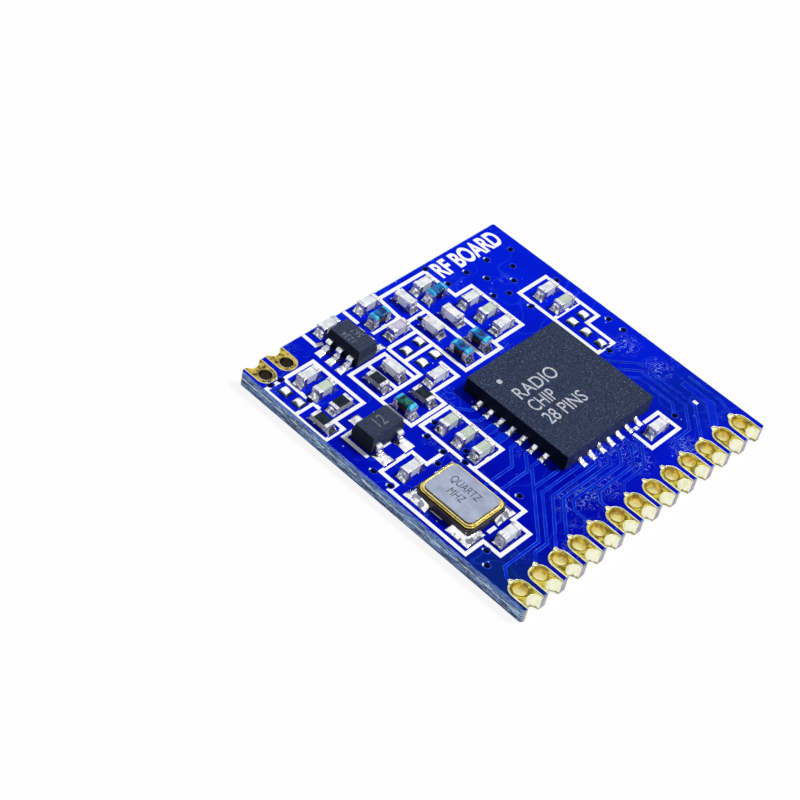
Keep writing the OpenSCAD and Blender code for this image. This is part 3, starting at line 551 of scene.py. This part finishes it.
def dress_frame():
    blues = ((0.0, 0.003, 0.4), (0.0, 0.012, 0.68))
    tin = tin_material("tin")
    white = ceramic_material("ceramic_white", (0.9, 0.93, 0.96), (0.6, 0.62, 0.7), (0.93, 0.96, 1.0))
    green = ceramic_material("ceramic_green", (0.6, 0.69, 0.58), (0.42, 0.5, 0.4), (0.82, 0.88, 0.92))
    lilac = ceramic_material("ceramic_lilac", (0.62, 0.57, 0.72), (0.42, 0.38, 0.5))
    pale = ceramic_material("ceramic_pale", (0.85, 0.85, 0.82), (0.66, 0.66, 0.64))
    drab = ceramic_material("ceramic_drab", (0.42, 0.41, 0.42), (0.22, 0.21, 0.23))
    gold = ring_material()
    slots = {record["node"]: record["material_slot"] for record in frame["record"]["subparts"]}
    dress("laminate", laminate_material())
    dress("solder_mask_top", mask_material("mask_blue", *blues, 1.0, FLUX_MARKS))
    dress("solder_mask_bottom", mask_material("mask_blue_under", *blues, 0.35, ()))
    dress_pads()
    dress("plated_vias", via_material())
    dress("part_lands", tin_material("land_tin", (0.5, 0.52, 0.6), 0.3))
    dress("track_ridges", track_material())
    dress("white_legend", legend_material())
    dress("radio_chip_body", chip_material())
    dress("radio_chip_contacts", tin)
    dress("crystal_base", ceramic_material(
        "crystal_ceramic", (0.03, 0.022, 0.032), (0.006, 0.005, 0.01)))
    dress("crystal_seal_ring", gold)
    dress("crystal_lid", lid_material())
    dress("switch_body", moulding_material("switch_moulding"))
    dress("transistor_body", moulding_material("transistor_moulding"))
    lead = tin_material("lead_tin", (0.86, 0.87, 0.9), 0.16, shade=0.35)
    dress("switch_leads", lead)
    dress("transistor_leads", lead)
    cap_end = tin_material("cap_end_tin", (0.88, 0.89, 0.96), 0.24, shade=0.55, patch=7, metallic=0.88)
    for node in ("capacitor_terminals", "resistor_terminals", "inductor_terminals"):
        dress(node, cap_end)
    dress("resistor_coats", coat_material())
    dress("inductor_windings", wire_material())
    for node in CAPACITORS:
        dress(node, green if slots[node] == "capacitor_green" else white)
    dress(LILAC_CAPACITOR, lilac)
    for node in RESISTORS:
        dress(node, drab)
    for node in INDUCTORS:
        dress(node, pale)
    for node in ("radio_chip_body", "switch_body", "transistor_body"):
        soften(node, 0.03)
    for node in ("crystal_base", "crystal_seal_ring", "crystal_lid"):
        soften(node, 0.025)


# Pieces

def add_piece(name, mesh, materials, smooth=True):
    """Makes a mesh a piece of the object, riding on the board."""
    piece = bpy.data.objects.new(name, mesh)
    bpy.context.scene.collection.objects.link(piece)
    for material in materials:
        mesh.materials.append(material)
    mesh.polygons.foreach_set("use_smooth", [smooth] * len(mesh.polygons))
    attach(piece, "root")
    return piece


def mesh_from(bm, name):
    mesh = bpy.data.meshes.new(name)
    bm.to_mesh(mesh)
    bm.free()
    return mesh


def welded(node):
    bm = bmesh.new()
    bm.from_mesh(NODES[node].data)
    bmesh.ops.remove_doubles(bm, verts=bm.verts, dist=WELD)
    return bm


def solids(node):
    """(lowest corner, highest corner) of each separate solid in a node."""
    bm = welded(node)
    seen = set()
    boxes = []
    for start in bm.verts:
        if start.index in seen:
            continue
        seen.add(start.index)
        stack = [start]
        group = []
        while stack:
            vert = stack.pop()
            group.append(vert.co.copy())
            for edge in vert.link_edges:
                other = edge.other_vert(vert)
                if other.index not in seen:
                    seen.add(other.index)
                    stack.append(other)
        low = Vector([min(p[k] for p in group) for k in range(3)])
        high = Vector([max(p[k] for p in group) for k in range(3)])
        boxes.append((low, high))
    bm.free()
    return boxes


def middle(box):
    return (box[0] + box[1]) / 2


def holds(box, point):
    """Whether a box holds a point, seen from above."""
    return box[0].x <= point.x <= box[1].x and box[0].y <= point.y <= box[1].y


def outside(box, x, y):
    """How far a point lies outside a box, seen from above."""
    dx = max(box[0].x - x, 0, x - box[1].x)
    dy = max(box[0].y - y, 0, y - box[1].y)
    return math.hypot(dx, dy)


# Places of the solder materials in the list that each solder piece has
SHINY, SMOOTH, DOMED, WET = range(4)

# How near a land lies to the foot, chip or crystal it belongs to, in millimetres, seen from above
NEAR_FOOT = 0.15
NEAR_CHIP = 0.2
NEAR_CRYSTAL = 0.1

# A land wider than this, in millimetres, is the hidden one under the chip and gets no pool
WIDEST_LAND = 2

# How many lumps a pool of solder has along a millimetre, about
LUMPS_PER_MM = 3.2


def add_solder(bm, land, part=None, climb=0.0, reach=0.2, dome=0.04, corner=5, steps=15, lumpy=0.45,
               look=SHINY):
    """A pool of solder over a land, climbing the wall of the part that stands in it.

    It rises by dome over the land and by climb at the wall, within reach of it, all in millimetres.
    The higher corner is, the squarer the pool.
    """
    seed = Vector((RNG.random(), RNG.random(), RNG.random())) * 40
    centre = middle(land)
    half = (land[1] - land[0]) / 2
    strength = 0.75 + 0.5 * RNG.random()
    rows = []
    for i in range(steps + 1):
        row = []
        for j in range(steps + 1):
            a = math.sin((2 * i / steps - 1) * math.pi / 2)
            b = math.sin((2 * j / steps - 1) * math.pi / 2)
            x = centre.x + a * half.x
            y = centre.y + b * half.y
            edge = math.sqrt(max(0.0, (1 - abs(a) ** corner) * (1 - abs(b) ** corner)))
            lump = 1 + lumpy * noise.noise(Vector((x, y, 0)) / MM * LUMPS_PER_MM + seed)
            z = dome * lump
            if part:
                near = max(0.0, 1 - outside(part, x, y) / (reach * MM))
                z += climb * strength * near ** 2 * (0.8 + 0.2 * lump)
            row.append(bm.verts.new((x, y, TOP + edge * z * MM)))
        rows.append(row)
    for i in range(steps):
        for j in range(steps):
            face = bm.faces.new((rows[i][j], rows[i + 1][j], rows[i + 1][j + 1], rows[i][j + 1]))
            face.material_index = look


def build_solder():
    """Solder pools over every land, in place of the plain wedges and domes of the frame."""
    lands = solids("part_lands")
    caps = []
    for node in ("capacitor_terminals", "resistor_terminals", "inductor_terminals"):
        caps += solids(node)
    feet = [box for node in ("switch_leads", "transistor_leads") for box in solids(node)]
    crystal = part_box("crystal_base")
    chip = (CHIP_LOW, CHIP_HIGH)
    at_parts = bmesh.new()
    at_chip = bmesh.new()
    spare = bmesh.new()
    for land in lands:
        width = min(land[1].x - land[0].x, land[1].y - land[0].y) / MM
        cap = next((c for c in caps if holds(land, middle(c))), None)
        foot = next((f for f in feet if outside(land, *middle(f).xy) < NEAR_FOOT * MM), None)
        if width > WIDEST_LAND:
            continue
        if outside(chip, *middle(land).xy) < NEAR_CHIP * MM:
            add_solder(at_chip, land, chip, climb=0.13, reach=0.2, dome=0.085, corner=3)
        elif cap:
            height = (cap[1].z - cap[0].z) / MM
            add_solder(at_parts, land, cap, climb=height * 0.62, reach=0.22, dome=0.035)
        elif foot:
            add_solder(at_parts, land, foot, climb=0.03, reach=0.2, dome=0.1, corner=2.6, steps=20,
                       lumpy=0.15, look=WET)
        elif outside(crystal, *middle(land).xy) < NEAR_CRYSTAL * MM:
            add_solder(at_parts, land, crystal, climb=0.16, reach=0.3, dome=0.07, steps=26, look=SMOOTH)
        else:
            add_solder(spare, land, dome=0.19, corner=2.0, steps=22, lumpy=0.25, look=DOMED)
    shine = tin_material("solder_bright", (0.92, 0.93, 0.98), 0.13, 0.03, shade=0.75,
                         dark=(0.08, 0.1, 0.17), patch=6, metallic=0.88)
    smooth = tin_material("solder_smooth", (0.93, 0.94, 0.97), 0.16, 0.02, shade=0.8, patch=3.6)
    wet = tin_material("solder_wet", (0.95, 0.96, 0.98), 0.13, 0.015, shade=0.45, patch=3)
    looks = [shine, smooth, domed_solder_material(), wet]
    for bm, name, node, slot in (
            (at_parts, "solder_at_parts", "part_solder", "part_solder"),
            (at_chip, "solder_at_chip", "chip_solder", "chip_solder"),
            (spare, "solder_on_spare_lands", "spare_land_solder", "spare_solder")):
        piece = add_piece(name, mesh_from(bm, name), looks)
        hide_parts(node)


# Beads: how far off its level an edge may lie, and how many sides a bead has
SAME_LEVEL = 0.001 * MM
BEAD_SIDES = 6


def rim_edges(bm, level):
    """Edges where a node's flat top at that level ends."""
    found = []
    for edge in bm.edges:
        if any(abs(v.co.z - level) > SAME_LEVEL for v in edge.verts):
            continue
        tops = [f for f in edge.link_faces if f.normal.z > 0.9]
        if len(tops) == 1:
            found.append((edge.verts[0].co.copy(), edge.verts[1].co.copy()))
    return found


def add_bead(bm, start, end, radius):
    """A thin straight bead between two points, a little longer than the gap at each end."""
    run = end - start
    if run.length < WELD:
        return
    turn = run.to_track_quat("Z", "Y").to_matrix()
    extra = run.normalized() * radius * 0.5
    rings = []
    for at in (start - extra, end + extra):
        ring = []
        for k in range(BEAD_SIDES):
            a = 2 * math.pi * k / BEAD_SIDES
            ring.append(bm.verts.new(at + turn @ Vector((math.cos(a), math.sin(a), 0)) * radius))
        rings.append(ring)
    for k in range(BEAD_SIDES):
        m = (k + 1) % BEAD_SIDES
        bm.faces.new((rings[0][k], rings[0][m], rings[1][m], rings[1][k]))


def keep_in(point, radius):
    """The point, moved in where a bead round it would stand out past the board's sides."""
    low, high = BOARD_LOW + Vector((radius,) * 3), BOARD_HIGH - Vector((radius,) * 3)
    return Vector((min(max(point.x, low.x), high.x), min(max(point.y, low.y), high.y), point.z))


# On the pin pads' top, how far from the middle of a hole or a notch its edge may lie, in millimetres
HOLE_EDGE = 0.36
NOTCH_EDGE = 0.44


def from_row(point, y):
    """Distance, seen from above, to the nearest middle of a row at y on the pitch of the pins."""
    steps = (point.x - MOUNTS["pin_hole_1"].x) / PIN_PITCH
    along = (steps - round(steps)) * PIN_PITCH
    return math.hypot(along, point.y - y)


def at_hole(point):
    """Whether a point of the pin pads' top lies on the edge of one of their holes."""
    return from_row(point, MOUNTS["pin_hole_1"].y) < HOLE_EDGE * MM


def at_notch(point):
    """Whether a point of the pin pads' top lies on the edge of one of their notches."""
    return from_row(point, BOARD_LOW.y) < NOTCH_EDGE * MM


def build_rims(node, name, level, radius, material, wanted=lambda point: True, drop=0.0):
    """Beads along the upper edges of a node, or drop below them; radius and drop in millimetres."""
    source = welded(node)
    bm = bmesh.new()
    lower = Vector((0, 0, drop * MM))
    for edge in rim_edges(source, level):
        if wanted((edge[0] + edge[1]) / 2):
            ends = [keep_in(point, radius * MM) - lower for point in edge]
            add_bead(bm, *ends, radius * MM)
    source.free()
    add_piece(name, mesh_from(bm, name), [material])


def build_edges():
    """Beads along the edges of tracks, pads, the board and the crystal's lid and ring; several are painted
    highlights, and one a painted shadow.
    """
    track_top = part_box("track_ridges")[1].z
    ring_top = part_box("crystal_seal_ring")[1].z
    front = BOARD_LOW.y
    # Painted highlight: pale beads along the edges of the tracks
    build_rims("track_ridges", "track_edges", track_top, 0.018,
               edge_glint_material("track_edge", (0.0, 0.018, 0.58), (0.035, 0.16, 0.88)))
    # Pale rims round the pads: a raised edge of tin whose pale tone is partly painted highlight
    build_rims("castellated_pads", "pin_pad_rims", TOP, 0.034,
               gold_material("rim_gold", (0.75, 0.68, 0.26), (1.0, 1.0, 0.82), 0.3),
               lambda point: point.y > front + 0.02 * MM and not at_hole(point))
    # Painted shadow: a dark line just outside the pad rims, along the gap between pad and mask
    build_rims("castellated_pads", "pin_pad_shadow", TOP, 0.055,
               gold_material("rim_shadow_and_gap", (0.02, 0.02, 0.015), (0.12, 0.09, 0.03), 0.45),
               lambda point: (point.y > front + 0.06 * MM and not at_hole(point)
                              and not at_notch(point)), drop=0.03)
    build_rims("castellated_pads", "pin_hole_rims", TOP, 0.016,
               gold_material("hole_rim_gold", (0.22, 0.12, 0.015), (0.6, 0.4, 0.08), 0.3),
               at_hole)
    # Painted highlight: a pale bead along the top edge of the board
    build_rims("solder_mask_top", "board_edge_glint", TOP, 0.016,
               edge_glint_material("edge_glint", (0.02, 0.1, 0.55), (0.35, 0.55, 0.9)),
               lambda point: (abs(point.x) > BOARD_HIGH.x - 0.01 * MM
                              or abs(point.y) > BOARD_HIGH.y - 0.01 * MM))
    build_rims("antenna_pads", "antenna_pad_rims", TOP, 0.024,
               gold_material("antenna_rim_gold", (0.45, 0.36, 0.14), (0.85, 0.75, 0.4), 0.3),
               lambda point: point.y < BOARD_HIGH.y - 0.02 * MM)
    build_rims("crystal_lid", "lid_joint", LID_HIGH.z, 0.03,
               gold_material("lid_joint_metal", (0.02, 0.012, 0.004), (0.09, 0.06, 0.015), 0.4),
               drop=(LID_HIGH.z - LID_LOW.z) / MM)
    # Painted highlight: a pale bead along the ring's top edge
    build_rims("crystal_seal_ring", "ring_edge", ring_top, 0.022,
               gold_material("ring_glint", (0.85, 0.72, 0.25), (1.0, 0.95, 0.6), 0.25))


def add_ring(bm, centre, radius, across, height, start=0.0, sweep=2 * math.pi, turns=20):
    """A rounded ridge along a circle or a part of it, lying on the mask."""
    tube = 8
    closed = sweep >= 2 * math.pi
    rings = []
    for i in range(turns if closed else turns + 1):
        a = start + sweep * i / turns
        taper = 1.0 if closed else max(0.05, math.sin(math.pi * i / turns))
        ring = []
        for k in range(tube):
            b = 2 * math.pi * k / tube
            r = radius + across * taper * math.cos(b)
            z = TOP + height * taper * math.sin(b)
            ring.append(bm.verts.new((centre.x + r * math.cos(a), centre.y + r * math.sin(a), z)))
        rings.append(ring)
    for i in range(turns):
        n = (i + 1) % len(rings)
        for k in range(tube):
            m = (k + 1) % tube
            bm.faces.new((rings[i][k], rings[n][k], rings[n][m], rings[i][m]))


def build_vias():
    """A raised lip round the open end of each via, and a bright glint on the far side of most."""
    lip = Shader("via_lip", roughness=0.25, specular=0.12)
    lip.colour(lip.blend(lip.noise(3, 2), 0.3, 0.7, (0.0, 0.01, 0.4), (0.01, 0.05, 0.62)))
    glint = Shader("via_glint", roughness=0.3, specular=0.3)
    patchy = glint.ramp(glint.noise(6, 2), (0.35, 0), (0.65, 1))
    glint.colour(glint.mix(patchy, (0.4, 0.6, 0.9), (0.9, 0.97, 1.0)))
    lips = bmesh.new()
    glints = bmesh.new()
    for box in solids("plated_vias"):
        centre = middle(box)
        radius = (box[1].x - box[0].x) / 2
        add_ring(lips, centre, radius + 0.012 * MM, 0.03 * MM, 0.015 * MM)
        if RNG.random() < 0.7:
            add_ring(glints, centre, radius + 0.025 * MM, 0.045 * MM, 0.028 * MM,
                     start=1.0 + 0.6 * RNG.random(), sweep=1.0 + 0.5 * RNG.random(), turns=8)
    add_piece("via_lips", mesh_from(lips, "via_lips"), [lip.material])
    add_piece("via_glints", mesh_from(glints, "via_glints"), [glint.material])


# Half of the length of a coat's coloured middle, as a share of the coat's length
HALF_MIDDLE = 0.19


def build_inductor_coats():
    """Resin caps: cyan over the ends, blue between them, or green on the coat farthest towards -X."""
    cyan = resin_material("resin_cyan", (0.01, 0.34, 0.7), (0.09, 0.68, 0.92))
    blue = resin_material("resin_blue", (0.001, 0.02, 0.11), (0.001, 0.19, 0.6))
    green = resin_material("resin_green", (0.001, 0.02, 0.035), (0.008, 0.22, 0.18))
    coats = solids("inductor_coatings")
    steps = 24
    bm = bmesh.new()
    greenest = min(coats, key=lambda box: middle(box).x)
    for box in coats:
        low, high = box
        centre = middle(box)
        half = (high - low) / 2
        lengthways = 0 if half.x > half.y else 1
        between = 2 if box is greenest else 1
        rows = []
        for i in range(steps + 1):
            row = []
            for j in range(steps + 1):
                a = math.sin((2 * i / steps - 1) * math.pi / 2)
                b = math.sin((2 * j / steps - 1) * math.pi / 2)
                edge = max(0.0, (1 - abs(a) ** 10) * (1 - abs(b) ** 6)) ** 0.5
                along = (a, b)[lengthways]
                sag = 0.62 + 0.38 * min(1.0, abs(along) * 1.5)
                z = low.z + (high.z - low.z) * edge * sag
                row.append(bm.verts.new((centre.x + a * half.x, centre.y + b * half.y, z)))
            rows.append(row)
        for i in range(steps):
            for j in range(steps):
                face = bm.faces.new((rows[i][j], rows[i + 1][j], rows[i + 1][j + 1], rows[i][j + 1]))
                along = (i, j)[lengthways] + 0.5
                face.material_index = 0 if abs(along / steps - 0.5) > HALF_MIDDLE else between
    name = "inductor_resin"
    piece = add_piece(name, mesh_from(bm, name), [cyan, blue, green])
    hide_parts("inductor_coatings")


# Height of the font's capitals as a share of its size, about
CAPITALS = 0.7


def add_words(name, words, centre, height, narrow, material, turn=0.0, thick=0.003,
              bold=0.01, align="CENTER"):
    """Plain capitals as thin printed or engraved marks, centred on a point."""
    curve = bpy.data.curves.new(name + "_outline", "FONT")
    curve.body = words
    curve.size = height / CAPITALS * MM
    curve.align_x = align
    curve.offset = bold * MM
    curve.align_y = "CENTER"
    curve.extrude = thick / 2 * MM
    text = bpy.data.objects.new(name + "_outline", curve)
    bpy.context.scene.collection.objects.link(text)
    bpy.context.view_layer.update()
    mesh = bpy.data.meshes.new_from_object(text.evaluated_get(bpy.context.evaluated_depsgraph_get()))
    bpy.data.objects.remove(text)
    place = Matrix.Translation(Vector(centre)) @ Matrix.Rotation(turn, 4, "Z")
    mesh.transform(place @ Matrix.Diagonal((narrow, 1, 1, 1)))
    add_piece(name, mesh, [material], smooth=False)


# How far the middle of a laser mark lies below the surface it is on
MARK_SINK = 0.0005 * MM


def add_body_words(body, rows, height, gap, turn, material):
    """Rows of characters on the top of a small leaded body, gap millimetres apart."""
    low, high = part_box(body)
    across = Vector((-1, 0, 0)) if turn else Vector((0, 1, 0))
    for k, words in enumerate(rows):
        at = (low + high) / 2 + across * ((len(rows) - 1) / 2 - k) * gap * MM
        at.z = high.z - MARK_SINK
        add_words(body.replace("body", "words_") + str(k + 1), words, at, height, 0.8, material,
                  turn=turn, bold=0.0)


def build_markings():
    """Generic words where the object carries print, and the chip's first-pin dot."""
    ink = legend_material()
    laser = marking_material("chip_laser", (0.24, 0.25, 0.31), (0.68, 0.7, 0.78))
    etched = marking_material("lid_etch", (0.03, 0.03, 0.06), (0.1, 0.1, 0.16))
    faint = marking_material("faint_laser", (0.06, 0.07, 0.1), (0.2, 0.22, 0.28))
    chip = middle((CHIP_LOW, CHIP_HIGH))
    lid = middle((LID_LOW, LID_HIGH))
    add_words("board_words", "RF BOARD", (5.6 * MM, 7.6 * MM, TOP + 0.004 * MM), 0.97, 0.67, ink,
              thick=0.012, bold=0.045)
    for k, (words, narrow) in enumerate((("RADIO", 0.88), ("CHIP", 0.72), ("28 PINS", 0.8))):
        at = (chip.x - 2.1 * MM, chip.y + (0.85 - 0.9 * k) * MM, CHIP_HIGH.z - MARK_SINK)
        add_words("chip_words_" + str(k + 1), words, at, 0.7, narrow, laser,
                  bold=0.004, align="LEFT")
    for k, words in enumerate(("QUARTZ", "MHZ")):
        at = (lid.x + (0.3 - 0.6 * k) * MM, lid.y + 0.1 * MM, LID_HIGH.z - MARK_SINK)
        add_words("crystal_words_" + str(k + 1), words, at, 0.42, 0.66, etched,
                  turn=-math.pi / 2, bold=0.0)
    add_body_words("switch_body", ("1234", "567"), 0.34, 0.5, math.pi / 2, faint)
    add_body_words("transistor_body", ("12",), 0.6, 0.0, 0.0, faint)
    bm = bmesh.new()
    bmesh.ops.create_cone(bm, cap_ends=True, segments=24, radius1=0.14 * MM, radius2=0.13 * MM,
                          depth=0.004 * MM)
    bm.transform(Matrix.Translation((-0.28 * MM, 0.48 * MM, CHIP_HIGH.z)))
    add_piece("first_pin_dot", mesh_from(bm, "first_pin_dot"), [laser], smooth=False)


# Floor, world and lamps

FLOOR_WHITE = 0.92
FLOOR_LEVEL = -0.02 * MM

# How much of the floor is its own even glow as the camera sees it, which keeps shadows on it faint
FLOOR_GLOW = 0.88

# Strength of the white all round, as it lights the scene and as it is seen
ROUND_LIGHT = 0.3
ROUND_SEEN = 1.0


def background_rays(nodes, links):
    """A value that is 1 for rays from the camera, or by way of gloss or glass."""
    path = nodes.new("ShaderNodeLightPath")
    value = path.outputs["Is Camera Ray"]
    for ray in ("Is Glossy Ray", "Is Transmission Ray"):
        node = nodes.new("ShaderNodeMath")
        node.operation = "MAXIMUM"
        links.new(value, node.inputs[0])
        links.new(path.outputs[ray], node.inputs[1])
        value = node.outputs[0]
    return value


def add_floor():
    """White floor just under the board, nearly shadowless as the camera sees it."""
    bpy.ops.mesh.primitive_plane_add(size=1.2, location=(0, 0, FLOOR_LEVEL))
    floor = bpy.context.object
    floor.name = "floor"
    material = bpy.data.materials.new("floor_white")
    material.use_nodes = True
    nodes = material.node_tree.nodes
    links = material.node_tree.links
    nodes.clear()
    diffuse = nodes.new("ShaderNodeBsdfDiffuse")
    diffuse.inputs["Color"].default_value = (FLOOR_WHITE, FLOOR_WHITE, FLOOR_WHITE, 1)
    glow = nodes.new("ShaderNodeEmission")
    part = nodes.new("ShaderNodeMath")
    part.operation = "MULTIPLY"
    part.inputs[1].default_value = FLOOR_GLOW
    links.new(background_rays(nodes, links), part.inputs[0])
    mix = nodes.new("ShaderNodeMixShader")
    links.new(part.outputs[0], mix.inputs[0])
    links.new(diffuse.outputs[0], mix.inputs[1])
    links.new(glow.outputs[0], mix.inputs[2])
    output = nodes.new("ShaderNodeOutputMaterial")
    links.new(mix.outputs[0], output.inputs["Surface"])
    floor.data.materials.append(material)


def add_world():
    """White all round, soft as light and full white as background."""
    world = bpy.data.worlds.new("studio")
    bpy.context.scene.world = world
    world.use_nodes = True
    nodes = world.node_tree.nodes
    links = world.node_tree.links
    nodes.clear()
    soft = nodes.new("ShaderNodeBackground")
    soft.inputs["Strength"].default_value = ROUND_LIGHT
    seen = nodes.new("ShaderNodeBackground")
    seen.inputs["Strength"].default_value = ROUND_SEEN
    for node in (soft, seen):
        node.inputs["Color"].default_value = (1, 1, 1, 1)
    mix = nodes.new("ShaderNodeMixShader")
    links.new(background_rays(nodes, links), mix.inputs[0])
    links.new(soft.outputs[0], mix.inputs[1])
    links.new(seen.outputs[0], mix.inputs[2])
    output = nodes.new("ShaderNodeOutputWorld")
    links.new(mix.outputs[0], output.inputs["Surface"])


def add_sun(name, toward, strength, spread):
    """A soft lamp whose light comes from the given direction, spread over that many degrees."""
    data = bpy.data.lights.new(name, "SUN")
    data.energy = strength
    data.angle = math.radians(spread)
    lamp = bpy.data.objects.new(name, data)
    bpy.context.scene.collection.objects.link(lamp)
    lamp.rotation_euler = Vector(toward).to_track_quat("Z", "Y").to_euler()


add_camera()
dress_frame()
build_solder()
build_edges()
build_vias()
build_inductor_coats()
build_markings()
add_floor()
add_world()
add_sun("key", toward=(0.52, -0.34, 1.0), strength=2.45, spread=11)
add_sun("fill", toward=(-0.8, 0.1, 0.6), strength=0.18, spread=60)
bpy.context.scene.view_settings.view_transform = "Standard"
